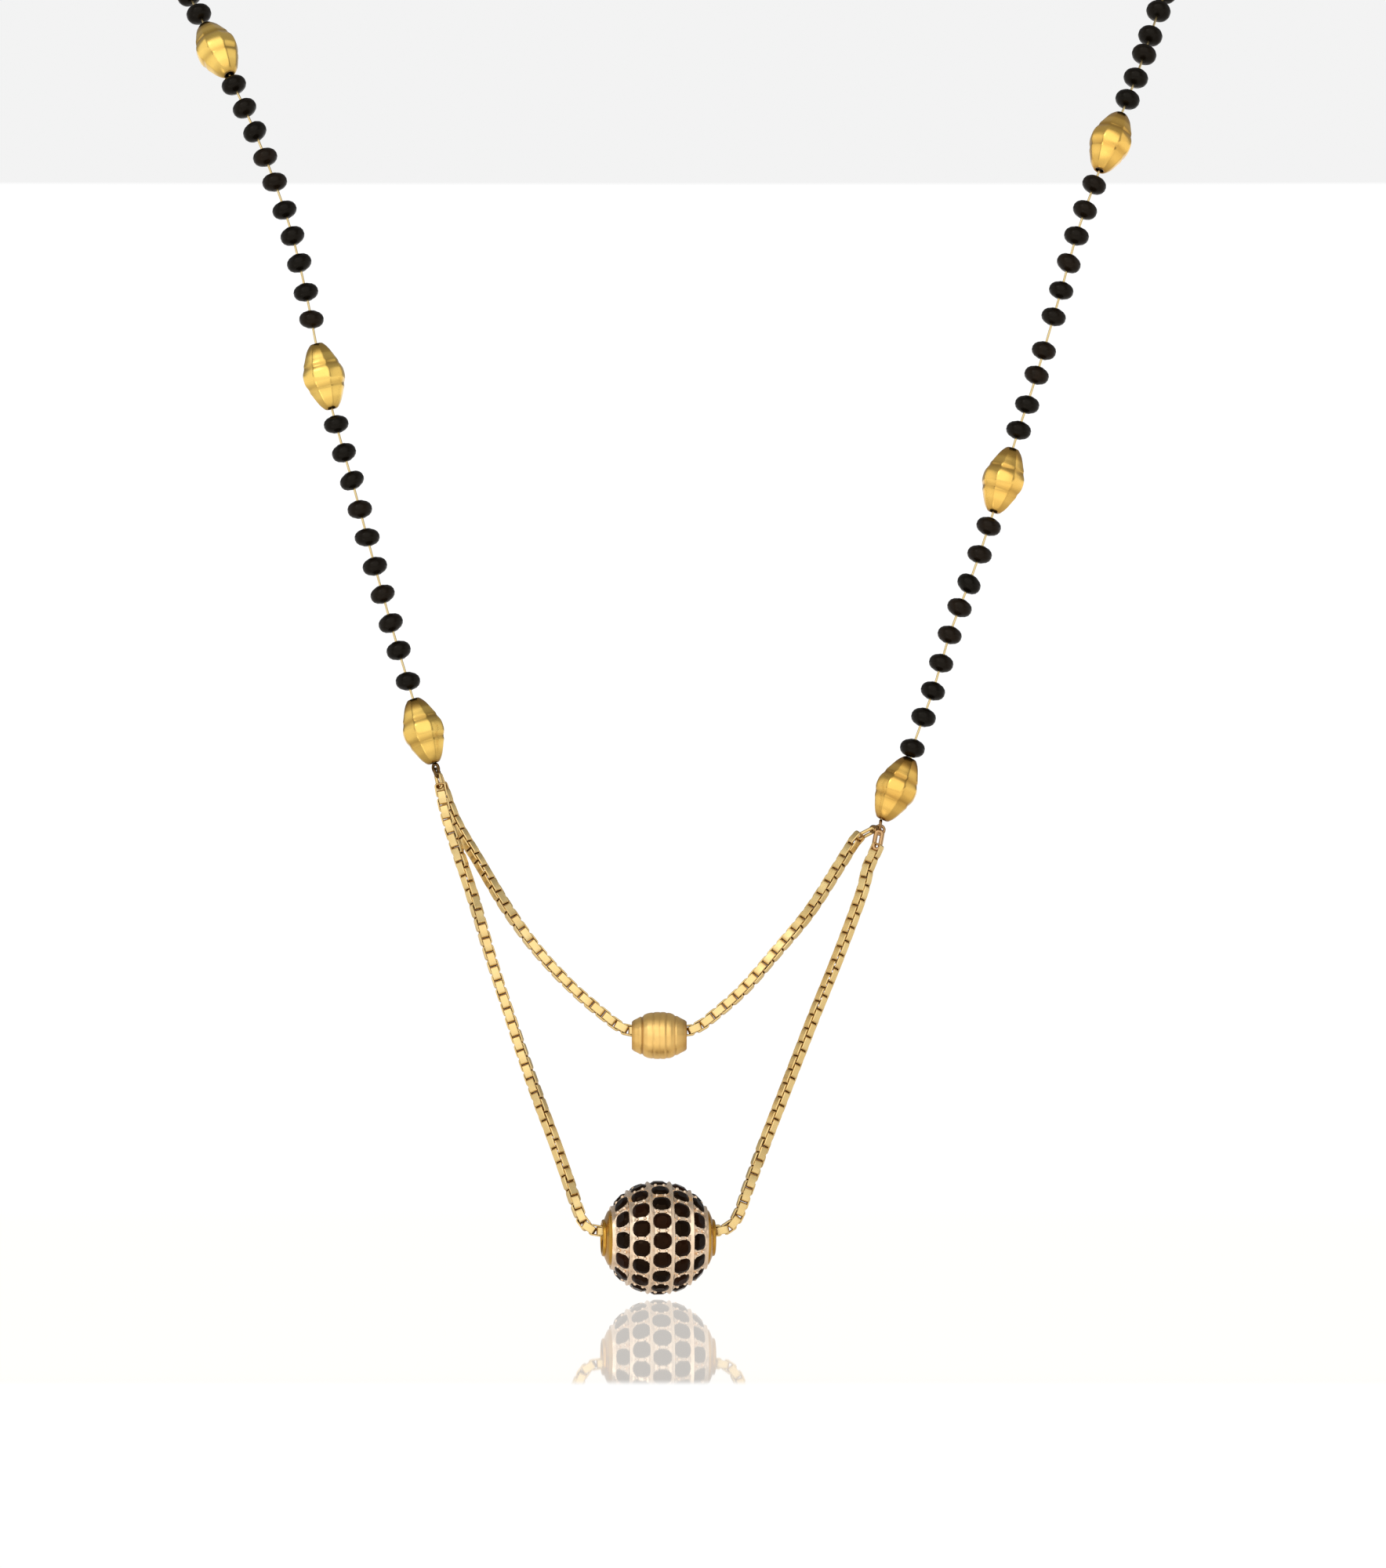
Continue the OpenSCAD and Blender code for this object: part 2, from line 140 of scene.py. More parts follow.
def smooth(p, n):
    p = np.array(p, float)
    m = len(p) - 1
    out = []
    for i in range(m):
        a, b, c, d = p[max(i - 1, 0)], p[i], p[i + 1], p[min(i + 2, m)]
        for j in range(n):
            t = j / n
            out.append(0.5 * (2 * b + (c - a) * t + (2 * a - 5 * b + 4 * c - d) * t * t
                              + (3 * b - a - 3 * c + d) * t ** 3))
    out.append(p[m])
    return np.array(out)


class Path:
    """A polyline measured by length."""

    def __init__(self, q):
        self.q = np.asarray(q, float)
        self.l = np.concatenate([[0], np.cumsum(np.linalg.norm(np.diff(self.q, axis=0), axis=1))])
        self.length = self.l[-1]

    def at(self, s):
        i = int(np.clip(np.searchsorted(self.l, s, side="right") - 1, 0, len(self.q) - 2))
        t = (s - self.l[i]) / (self.l[i + 1] - self.l[i])
        return self.q[i] + (self.q[i + 1] - self.q[i]) * t

    def way(self, s, h=0.6):
        return unit(self.at(s + h) - self.at(s - h))


strand = [Path(smooth(STRAND[s], 4)) for s in (LEFT, RIGHT)]


def eye_way(side):
    return unit(EYE_UP[side])


def eye_centre(side):
    return strand[side].at(0) - eye_way(side) * 0.15


def ring_centre(side):
    return eye_centre(side) - eye_way(side) * (RING_R + 0.04)


def square_to_eye(side, v):
    w = eye_way(side)
    v = np.asarray(v, float)
    return unit(v - w * (v @ w))


def turned(v, a):
    c, s = math.cos(math.radians(a)), math.sin(math.radians(a))
    return np.array([v[0] * c + v[2] * s, v[1], v[2] * c - v[0] * s])


def basis(z, toward=(0, -1, 0)):
    """Rotation whose third column is z and whose first column points as nearly as it can toward the given direction."""
    z = unit(z)
    t = np.asarray(toward, float)
    x = t - z * (t @ z)
    if np.linalg.norm(x) < 1e-4:
        t = np.array([0, 0, 1.0])
        x = t - z * (t @ z)
    x = unit(x)
    return np.stack([x, np.cross(z, x), z], axis=1)


# ---- meshes ----------------------------------------------------------------
class Soup:
    """Vertices and faces of many small solids, gathered into one mesh."""

    def __init__(self):
        self.v, self.f, self.a, self.n = [], [], [], 0

    def add(self, verts, faces, attr=None):
        verts = np.asarray(verts, float)
        self.v.append(verts)
        self.f.extend([[i + self.n for i in f] for f in faces])
        self.a.append(np.full(len(verts), 0.0) if attr is None else np.broadcast_to(np.asarray(attr, float), (len(verts),)))
        self.n += len(verts)


def make(name, soup, mats, replaces=(), sharp=35, bevel=None, levels=0):
    mesh = bpy.data.meshes.new(name)
    v = np.concatenate(soup.v) * MM
    mesh.from_pydata(v.tolist(), [], soup.f)
    mesh.update()
    att = mesh.attributes.new("tint_and_painted_shade", "FLOAT", "POINT")
    att.data.foreach_set("value", np.concatenate(soup.a).astype(np.float32))
    obj = bpy.data.objects.new(name, mesh)
    bpy.context.scene.collection.objects.link(obj)
    if bevel:
        m = obj.modifiers.new("bevel", "BEVEL")
        m.width, m.segments, m.limit_method, m.angle_limit = bevel[0] * MM, bevel[1], "ANGLE", math.radians(bevel[2])
        m.use_clamp_overlap = True
        m.harden_normals = False
        bpy.context.view_layer.update()
        done = bpy.data.meshes.new_from_object(obj.evaluated_get(bpy.context.evaluated_depsgraph_get()))
        obj.modifiers.clear()
        obj.data = done
        mesh = done
    mesh.polygons.foreach_set("use_smooth", [True] * len(mesh.polygons))
    if sharp:
        mesh.set_sharp_from_angle(angle=math.radians(sharp))
    for m in mats:
        mesh.materials.append(m)
    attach(obj, "root")
    if replaces:
        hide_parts(*replaces)
    return obj


def lathe(rows, n, closed_loop=False):
    """Faces for rings of n points each. The rows' ends are capped, or joined to each other when the outline is a loop."""
    m = rows
    faces = []
    for i in range(m - 1 + (1 if closed_loop else 0)):
        j = (i + 1) % m
        for k in range(n):
            p = (k + 1) % n
            faces.append([i * n + k, i * n + p, j * n + p, j * n + k])
    if not closed_loop:
        faces.append([k for k in range(n - 1, -1, -1)])
        faces.append([(m - 1) * n + k for k in range(n)])
    return faces


def revolve(outline, n, phase=0.0, closed_loop=False):
    """A solid of revolution about Z: outline is [(radius, height)], from low to high, or a loop with its outside first."""
    verts = []
    for r, h in outline:
        a = np.arange(n) * 2 * math.pi / n + phase
        verts.append(np.stack([r * np.cos(a), r * np.sin(a), np.full(n, h)], axis=1))
    return np.concatenate(verts), lathe(len(outline), n, closed_loop)


def torus(r, w, n=40, m=12):
    a = np.arange(n) * 2 * math.pi / n
    b = np.arange(m) * 2 * math.pi / m
    A, B = np.meshgrid(a, b, indexing="ij")
    R = r + w / 2 * np.cos(B)
    v = np.stack([R * np.cos(A), R * np.sin(A), w / 2 * np.sin(B)], axis=-1).reshape(-1, 3)
    f = []
    for i in range(n):
        for k in range(m):
            j, p = (i + 1) % n, (k + 1) % m
            f.append([i * m + k, j * m + k, j * m + p, i * m + p])
    return v, f


def sweep(points, d, m=10, closed=False, taper=None, up=(0, -1, 0)):
    """A round wire along points."""
    q = np.asarray(points, float)
    n = len(q)
    ways = []
    for i in range(n):
        if closed:
            ways.append(unit(q[(i + 1) % n] - q[i - 1]))
        else:
            ways.append(unit(q[min(i + 1, n - 1)] - q[max(i - 1, 0)]))
    side = np.cross(ways[0], up)
    if np.linalg.norm(side) < 1e-3:
        side = np.cross(ways[0], (0, 0, 1))
    side = unit(side)
    v = []
    for i in range(n):
        side = unit(side - ways[i] * (side @ ways[i]))
        b = np.cross(ways[i], side)
        r = d / 2 * (1 if taper is None else taper[i])
        for k in range(m):
            a = 2 * math.pi * k / m
            v.append(q[i] + r * (side * math.cos(a) + b * math.sin(a)))
    return np.array(v), lathe(n, m, closed)


def ball(r, n=12, m=8):
    """A small sphere with poles on Z."""
    v = [[0, 0, -r]]
    for i in range(1, m):
        t = -math.pi / 2 + math.pi * i / m
        for k in range(n):
            a = 2 * math.pi * k / n
            v.append([r * math.cos(t) * math.cos(a), r * math.cos(t) * math.sin(a), r * math.sin(t)])
    v.append([0, 0, r])
    f = [[0, 1 + (k + 1) % n, 1 + k] for k in range(n)]
    for i in range(m - 2):
        for k in range(n):
            p = (k + 1) % n
            f.append([1 + i * n + k, 1 + i * n + p, 1 + (i + 1) * n + p, 1 + (i + 1) * n + k])
    e, b = len(v) - 1, 1 + (m - 2) * n
    f += [[e, b + k, b + (k + 1) % n] for k in range(n)]
    return np.array(v), f


# ---- materials -------------------------------------------------------------
def nodes_of(name):
    m = bpy.data.materials.new(name)
    m.use_nodes = True
    t = m.node_tree
    t.nodes.clear()
    out = t.nodes.new("ShaderNodeOutputMaterial")
    p = t.nodes.new("ShaderNodeBsdfPrincipled")
    t.links.new(p.outputs[0], out.inputs["Surface"])
    return m, t, p


def metal(name, light, dark, rough, rough_more, bump, painted_shade_colour=None, scale=1.0):
    """Gold: its colour drifts between two shades, its roughness varies, and fine scratches and dents break the shine.
    Where the mesh's per-vertex shade value is high, as inside a groove, the colour goes to the darker shade colour:
    painted shade."""
    m, t, p = nodes_of(name)
    N, L = t.nodes.new, t.links.new
    co = N("ShaderNodeTexCoord")
    big = N("ShaderNodeTexNoise")
    big.inputs["Scale"].default_value = 420 * scale
    big.inputs["Detail"].default_value = 3
    fine = N("ShaderNodeTexNoise")
    fine.inputs["Scale"].default_value = 2600 * scale
    fine.inputs["Detail"].default_value = 5
    fine.inputs["Roughness"].default_value = 0.6
    for x in (big, fine):
        L(co.outputs["Object"], x.inputs["Vector"])
    ramp = N("ShaderNodeMapRange")
    ramp.inputs["From Min"].default_value, ramp.inputs["From Max"].default_value = 0.3, 0.7
    L(big.outputs["Fac"], ramp.inputs["Value"])
    mix = N("ShaderNodeMix")
    mix.data_type = "RGBA"
    mix.inputs["A"].default_value, mix.inputs["B"].default_value = (*light, 1), (*dark, 1)
    L(ramp.outputs[0], mix.inputs["Factor"])
    last = mix.outputs["Result"]
    # painted shade: the mesh's per-vertex value pulls the colour toward the darker shade colour, in grooves, at ends,
    # in bores and between links
    if painted_shade_colour is not None:
        a = N("ShaderNodeAttribute")
        a.attribute_name = "tint_and_painted_shade"
        mix2 = N("ShaderNodeMix")
        mix2.data_type = "RGBA"
        mix2.inputs["B"].default_value = (*painted_shade_colour, 1)
        L(last, mix2.inputs["A"])
        L(a.outputs["Fac"], mix2.inputs["Factor"])
        last = mix2.outputs["Result"]
    L(last, p.inputs["Base Color"])
    rr = N("ShaderNodeMapRange")
    rr.inputs["From Min"].default_value, rr.inputs["From Max"].default_value = 0.3, 0.7
    rr.inputs["To Min"].default_value, rr.inputs["To Max"].default_value = rough, rough_more
    L(fine.outputs["Fac"], rr.inputs["Value"])
    L(rr.outputs[0], p.inputs["Roughness"])
    b = N("ShaderNodeBump")
    b.inputs["Strength"].default_value = bump
    b.inputs["Distance"].default_value = 0.00002
    L(fine.outputs["Fac"], b.inputs["Height"])
    L(b.outputs[0], p.inputs["Normal"])
    p.inputs["Metallic"].default_value = 1.0
    return m


def black(name, base, tint, rough, rough_more, specular, bump, warm=(1, 1, 1), scale=1.0):
    """Black glass or stone. The mesh's tone gives each bead or stone its own tint."""
    m, t, p = nodes_of(name)
    N, L = t.nodes.new, t.links.new
    co = N("ShaderNodeTexCoord")
    fine = N("ShaderNodeTexNoise")
    fine.inputs["Scale"].default_value = 1500 * scale
    fine.inputs["Detail"].default_value = 4
    L(co.outputs["Object"], fine.inputs["Vector"])
    mix = N("ShaderNodeMix")
    mix.data_type = "RGBA"
    mix.inputs["A"].default_value, mix.inputs["B"].default_value = (*base, 1), (*tint, 1)
    a = N("ShaderNodeAttribute")
    a.attribute_name = "tint_and_painted_shade"
    mul = N("ShaderNodeMath")
    mul.operation = "MULTIPLY"
    L(a.outputs["Fac"], mul.inputs[0])
    L(fine.outputs["Fac"], mul.inputs[1])
    L(mul.outputs[0], mix.inputs["Factor"])
    L(mix.outputs["Result"], p.inputs["Base Color"])
    rr = N("ShaderNodeMapRange")
    rr.inputs["From Min"].default_value, rr.inputs["From Max"].default_value = 0.3, 0.7
    rr.inputs["To Min"].default_value, rr.inputs["To Max"].default_value = rough, rough_more
    L(fine.outputs["Fac"], rr.inputs["Value"])
    L(rr.outputs[0], p.inputs["Roughness"])
    b = N("ShaderNodeBump")
    b.inputs["Strength"].default_value = bump
    b.inputs["Distance"].default_value = 0.00002
    L(fine.outputs["Fac"], b.inputs["Height"])
    L(b.outputs[0], p.inputs["Normal"])
    p.inputs["Specular IOR Level"].default_value = specular
    p.inputs["Specular Tint"].default_value = (*warm, 1)
    return m


GOLD = (
    metal("bead_gold_left", (0.97, 0.670, 0.175), (0.93, 0.605, 0.143), 0.18, 0.25, 0.06, (0.30, 0.160, 0.032)),
    metal("bead_gold_right", (0.97, 0.620, 0.152), (0.93, 0.560, 0.124), 0.18, 0.25, 0.06, (0.30, 0.140, 0.025)),
)
HOOKGOLD = metal("hook_gold", (0.65, 0.45, 0.13), (0.61, 0.40, 0.10), 0.17, 0.25, 0.12)
CHAIN = metal("chain_gold", (0.84, 0.635, 0.290), (0.79, 0.565, 0.232), 0.31, 0.39, 0.08, (0.50, 0.295, 0.105))
BARREL = metal("barrel_gold", (0.93, 0.615, 0.215), (0.89, 0.555, 0.170), 0.35, 0.43, 0.05, (0.42, 0.22, 0.06))
BALLGOLD = metal("ball_gold", (0.92, 0.730, 0.540), (0.86, 0.655, 0.465), 0.22, 0.32, 0.10, (0.22, 0.10, 0.045))
CAPGOLD = metal("cap_gold", (0.58, 0.315, 0.050), (0.52, 0.270, 0.040), 0.18, 0.27, 0.08, (0.18, 0.09, 0.02))
WIREGOLD = metal("wire_gold", (0.74, 0.58, 0.30), (0.68, 0.52, 0.25), 0.22, 0.32, 0.12, (0.40, 0.25, 0.12))
# darker copies of the gold for the eyes, rings and links at the joins below the strands: painted shade
SHADED_TAN_GOLD = metal("shaded_tan_gold", (0.56, 0.35, 0.17), (0.49, 0.29, 0.13), 0.24, 0.34, 0.12, (0.30, 0.17, 0.07))
SHADED_DARK_GOLD = metal("shaded_dark_gold", (0.17, 0.10, 0.038), (0.12, 0.065, 0.022), 0.24, 0.36, 0.12)
GLASS = black("black_glass", (0.004, 0.0030, 0.0018), (0.018, 0.009, 0.004), 0.20, 0.32, 0.12, 0.10, warm=(1, 0.92, 0.80))
STONE = black("black_stone", (0.004, 0.0018, 0.0008), (0.026, 0.006, 0.002), 0.05, 0.10, 0.10, 0.04, warm=(1, 0.62, 0.35))

# ---- black beads and their wire --------------------------------------------
def black_outline(n=7):
    """Half outline of a rondelle, blunt at the ends: an ellipse with a flat round its bore."""
    r, h, flat = 1.3, 0.9, 0.42
    pts = []
    for i in range(n + 1):
        t = -math.pi / 2 + math.pi * i / n
        x, y = abs(math.cos(t)) ** 0.86 * r, math.copysign(abs(math.sin(t)) ** 0.92, math.sin(t)) * h
        pts.append((max(x, flat), y))
    return pts


def run_frames(side, k):
    count, first = BLACK_RUNS[side][k - 1]
    slide = BLACK_SLIDE[side][0 if k == 1 else 1]
    s = [GOLD_AT[side][k - 1] + first + BLACK_PITCH * i + slide[i] for i in range(count)]
    at = [strand[side].at(x) for x in s]
    way = [turned(strand[side].way(x), BLACK_TILT[side][i]) for i, x in enumerate(s)]
    return s, at, way


def black_run(side, k):
    s, at, way = run_frames(side, k)
    beads, wire = Soup(), Soup()
    for i, (p, w) in enumerate(zip(at, way)):
        size, thick = 1 + rng.uniform(-0.025, 0), 1 + rng.uniform(-0.02, 0.04)
        v, f = revolve(black_outline(9), 36, rng.uniform(0, 1))
        v = v * [size, size, thick]
        B = basis(w)
        beads.add(v @ B.T + p, f, rng.uniform(0, 1) ** 2)
    low, high = GOLD_AT[side][k - 1], None
    last = k == len(BLACK_RUNS[side])
    lp, lw = strand[side].at(low), strand[side].way(low)
    if last:
        nv = np.array([1.0, 0, 0]) if side == LEFT else np.array([-1.0, 0, 0])
        np_ = -nv * NAPE_EYE_X
        end = np_ - nv * NAPE_EYE_R
    else:
        hp, hw = strand[side].at(GOLD_AT[side][k]), strand[side].way(GOLD_AT[side][k])
        end = hp - hw * 0.3
    start = eye_centre(side) + eye_way(side) * EYE_R if k == 1 else lp + lw * 0.3
    line = [start, lp + lw * GOLD_L * 0.5] + at + ([end] if last else [hp - hw * GOLD_L * 0.5, end])
    v, f = sweep(smooth(line, 3), 0.24, 8)
    wire.add(v, f)
    if k == 1:
        v, f = torus(EYE_R, EYE_WIRE, 32, 10)
        B = basis(square_to_eye(side, EYE_FACE[side]), eye_way(side))
        # the right eye is darkened all the way to its shade colour: painted shade
        wire.add(v @ B.T + eye_centre(side), f, 1.0 if side == RIGHT else 0.0)
    if last:
        v, f = torus(NAPE_EYE_R, NAPE_EYE_WIRE, 36, 10)
        wire.add(v + np_, f)
        # three turns of the wire's tail round its neck
        nk = [end - nv * (0.25 + 0.9 * t) + 0.32 * np.array([0, math.cos(6 * math.pi * t), math.sin(6 * math.pi * t)])
              for t in np.linspace(0, 1, 40)]
        v, f = sweep(nk, 0.26, 8)
        wire.add(v, f)
    node = f"{SIDES[side]}_black_run_{k}"
    make(node + "_beads", beads, [GLASS], [node], sharp=60)
    obj = make(node + "_wire", wire, [WIREGOLD, (SHADED_DARK_GOLD, SHADED_TAN_GOLD)[side]] if k == 1 else [WIREGOLD], sharp=60)
    if k == 1:
        # the eye and the wire's tail beside it are in a darker copy of the gold: painted shade
        near = eye_centre(side)
        idx = [1 if (np.array(p.center) / MM - near) @ eye_way(side) < 1.3 else 0 for p in obj.data.polygons]
        obj.data.polygons.foreach_set("material_index", idx)


# ---- gold beads ------------------------------------------------------------
# [height from the waist, radius at the corners, painted shade in the upper half, painted shade in the lower half]; the
# painted shade darkens the groove and both ends, the upper end more
GOLD_ROWS = [
    (0.00, 2.250, 0.00, 0.00), (0.35, 2.230, 0.00, 0.00), (0.60, 2.170, 0.05, 0.04), (0.78, 2.090, 0.22, 0.18),
    (0.92, 2.015, 0.46, 0.38), (1.04, 1.955, 0.62, 0.52), (1.14, 1.920, 0.68, 0.56), (1.26, 1.905, 0.62, 0.50),
    (1.38, 1.890, 0.46, 0.36), (1.52, 1.840, 0.22, 0.16), (1.75, 1.720, 0.03, 0.00), (2.05, 1.580, 0.00, 0.00),
    (2.20, 1.510, 0.12, 0.04), (2.32, 1.450, 0.46, 0.16), (2.45, 1.390, 0.66, 0.28), (2.70, 1.260, 0.80, 0.38),
    (3.00, 1.070, 0.90, 0.50), (3.25, 0.860, 0.96, 0.68), (3.38, 0.730, 1.00, 0.90), (3.45, 0.620, 1.00, 1.00),
]


def cut_round(n):
    """Radius factors round a cross-section: half-way between an octagon with a corner at the start and a circle."""
    a = np.arange(n) * 2 * math.pi / n
    f = (a + math.pi / 8) % (math.pi / 4) - math.pi / 8
    f = math.pi / 8 - np.abs(f)
    return a, 0.62 * 0.924 / np.cos(f) + 0.38 * 0.962


def gold_bead(side, k):
    s = GOLD_AT[side][k - 1]
    p, w = strand[side].at(s), strand[side].way(s)
    rows = [(-h, r, low) for h, r, up, low in GOLD_ROWS[:0:-1]] + [(h, r, up) for h, r, up, low in GOLD_ROWS]
    n, verts, tint_and_painted_shade = 64, [], []
    # the first bead of each strand is a shade deeper
    deep, share = (0.15, 0.85) if k == 1 else (0.0, 0.76)
    a, factor = cut_round(n)
    a = a + math.pi / 8
    for h, r, c in rows:
        # the ends grow round
        e = min(1, max(0, (abs(h) - 2.9) / 0.5))
        g = factor * (1 - e) + 0.95 * e
        verts.append(np.stack([r * g * np.cos(a), r * g * np.sin(a), np.full(n, h)], axis=1))
        tint_and_painted_shade += [deep + share * c] * n
    # the bore's mouths are darkened fully: painted shade
    for h in (3.42, -3.42):
        verts.append(np.stack([GOLD_BORE / 2 * np.cos(a), GOLD_BORE / 2 * np.sin(a), np.full(n, h)], axis=1))
        tint_and_painted_shade += [1.0] * n
    m = len(rows)
    B = basis(w)
    spin = rng.uniform(-7, 7) if k > 1 else (4 if side == LEFT else -5)
    c, sn = math.cos(math.radians(spin)), math.sin(math.radians(spin))
    R = np.array([[c, -sn, 0], [sn, c, 0], [0, 0, 1]])
    soup = Soup()
    soup.add(np.concatenate(verts) @ R.T @ B.T + p, lathe(m + 2, n, True), tint_and_painted_shade)
    node = f"{SIDES[side]}_gold_bead_{k}"
    make(node + "_cut", soup, [GOLD[side]], [node], sharp=40)


# ---- grooved barrel --------------------------------------------------------
def grooved_barrel():
    h, r, bore = 2.8, 2.4, 1.25
    key = [(0, 1.0), (0.2, 0.995), (0.42, 0.95), (0.62, 0.85), (0.80, 0.73), (0.92, 0.665), (1.0, 0.62)]
    xs = np.array([x for x, _ in key]) * h
    ys = np.array([y for _, y in key]) * r
    outline, barrel_painted_shade = [], []
    for x in np.linspace(-h, h, 121):
        y = np.interp(abs(x), xs, ys)
        y -= 0.09 * (1 - math.sin(min(1, (h - abs(x)) / 0.3) * math.pi / 2))
        # painted shade: darker in the grooves, at both ends and toward the +X end
        g = c = 0.0
        for at, depth, width, dark in ((-1.74, 0.15, 0.12, 0.85), (-0.60, 0.05, 0.12, 0.25), (0.10, 0.03, 0.12, 0.12),
                                       (0.75, 0.05, 0.12, 0.25), (1.62, 0.09, 0.12, 0.35)):
            b = math.exp(-((x - at) / width) ** 2)
            g += depth * b
            c += dark * b
        c += 0.55 * max(0, min(1, (abs(x) - 2.35) / 0.4)) + (0.25 * max(0, min(1, (x - 1.7) / 0.6)))
        outline.append((y - g, x))
        barrel_painted_shade.append(min(1, c))
    outline += [(bore + 0.08, h - 0.02), (bore, h - 0.12), (bore, -h + 0.12), (bore + 0.08, -h + 0.02)]
    # the bore's inside is darkened: painted shade
    barrel_painted_shade += [0.8, 1, 1, 0.8]
    n = 96
    v, f = revolve(outline, n, closed_loop=True)
    # fine facets cut along the barrel between the grooves
    a = np.arctan2(v[:, 1], v[:, 0])
    rr = np.hypot(v[:, 0], v[:, 1])
    lift = np.where(rr > 1.4, 0.004 * np.cos(a * 16), 0)
    v[:, 0] += lift * np.cos(a)
    v[:, 1] += lift * np.sin(a)
    B = basis((1, 0, 0))
    soup = Soup()
    soup.add(v @ B.T + BARREL_AT, f, np.repeat(barrel_painted_shade, n))
    make("grooved_barrel_turned", soup, [BARREL], ["grooved_barrel"], sharp=45)


# ---- box chains ------------------------------------------------------------
A_LEN, A_OUT, A_T, A_W, A_PITCH = 1.46, 1.15, 0.18, 0.78, 0.756


def link_shape():
    """One link of flat strip: its long way is X, its open side is X-Y, its strip is wide along Z."""
    hx, hy, rc = A_LEN / 2 - A_T / 2, A_OUT / 2 - A_T / 2, 0.2
    path = []
    for q in range(4):
        c = math.radians(45 + 90 * q)
        cx, cy = (hx - rc) * math.copysign(1, math.cos(c)), (hy - rc) * math.copysign(1, math.sin(c))
        for j in range(4):
            a = math.radians(90 * q + 30 * j)
            path.append((cx + rc * math.cos(a), cy + rc * math.sin(a), math.cos(a), math.sin(a)))
    t, w, c = A_T / 2, A_W / 2, 0.05
    sec = [(t, w - c), (t - c, w), (-t + c, w), (-t, w - c), (-t, -w + c), (-t + c, -w), (t - c, -w), (t, -w + c)]
    # painted shade: the strip's inner faces and the link's end bars, where the links lie in each other, are darkened
    dark = [0, 0, 0.5, 1, 1, 0.5, 0, 0]
    v, tint_and_painted_shade = [], []
    for x, y, nx, ny in path:
        for (o, z), d in zip(sec, dark):
            v.append([x + o * nx, y + o * ny, z])
            tint_and_painted_shade.append(max(d, 0.9 * max(0, abs(nx) - 0.45) / 0.55))
    n, m = len(path), len(sec)
    f = []
    for i in range(n):
        j = (i + 1) % n
        for k in range(m):
            p = (k + 1) % m
            f.append([i * m + k, i * m + p, j * m + p, j * m + k])
    return np.array(v), f, np.array(tint_and_painted_shade)


LINK = link_shape()


def chain(name, route, node, twist, cut):
    """Box-chain links along route. twist is [(share of the length, angle)], and cut is the length left free at each end for
    the oval link that joins the chain to its ring."""
    path = Path(smooth(route, 8))
    length = path.length - cut[0] - cut[1]
    count = int(round(length / A_PITCH))
    step = length / count
    sx, sa = [x for x, _ in twist], [a for _, a in twist]
    soup = Soup()
    side = None
    for i in range(count + 1):
        s = cut[0] + step * i
        w = path.way(s, 0.35)
        if side is None:
            side = np.array([0, -1.0, 0])
        # the face toward the viewer is kept as the frame's own zero
        side = unit(np.array([0, -1.0, 0]) - w * (np.array([0, -1.0, 0]) @ w))
        b = np.cross(w, side)
        a = math.radians(np.interp(s / path.length, sx, sa) + 90 * (i % 2) + rng.uniform(-2.5, 2.5))
        y = side * math.cos(a) + b * math.sin(a)
        z = np.cross(w, y)
        v, f, tint_and_painted_shade = LINK
        soup.add(v @ np.stack([w, y, z], axis=1).T + path.at(s), f, tint_and_painted_shade)
    ends = (path.at(cut[0]), path.way(cut[0]), path.at(path.length - cut[1]), path.way(path.length - cut[1]))
    make(name, soup, [CHAIN], [node], sharp=28)
    return ends, count + 1


def oval_link(name, a, b, normal, wire, wide):
    """An oval link of round wire from a to b: the points are the middles of the wire at its two ends."""
    a, b = np.asarray(a, float), np.asarray(b, float)
    w = unit(b - a)
    half = np.linalg.norm(b - a) / 2
    y = np.asarray(normal, float)
    y = unit(y - w * (y @ w))
    x = np.cross(y, w)
    r = (wide - wire) / 2
    pts = []
    for i in range(28):
        t = 2 * math.pi * i / 28
        c, s = math.cos(t), math.sin(t)
        pts.append((a + b) / 2 + w * (math.copysign(max(half - r, 0), c) + r * c) + x * r * s)
    v, f = sweep(pts, wire, 10, closed=True, up=tuple(y))
    return v, f


# ---- ball ------------------------------------------------------------------
RINGS = [  # latitude, number of stones, first stone's angle below the front, in degrees
    (0, 17, 1.3), (22.5, 16, 10.15), (-22.5, 16, 10.15), (45.5, 11, 4.6), (-45.5, 11, 2.0),
]
STONE_R, STONE_U, STONE_V, STONE_POWER = 0.84, 0.87, 0.83, 3.0


def ball_frame():
    """Columns: along the bore, toward the viewer, down."""
    a = math.radians(BALL_TURN)
    x = np.array([math.cos(a), math.sin(a), 0])
    front = np.array([math.sin(a), -math.cos(a), 0])
    down = np.array([0, 0, -1.0])
    return np.stack([x, front, down], axis=1)


def stone_places():
    out = []
    for lat, n, first in RINGS:
        for i in range(n):
            out.append((math.radians(lat), math.radians(first + 360 / n * i)))
    return out


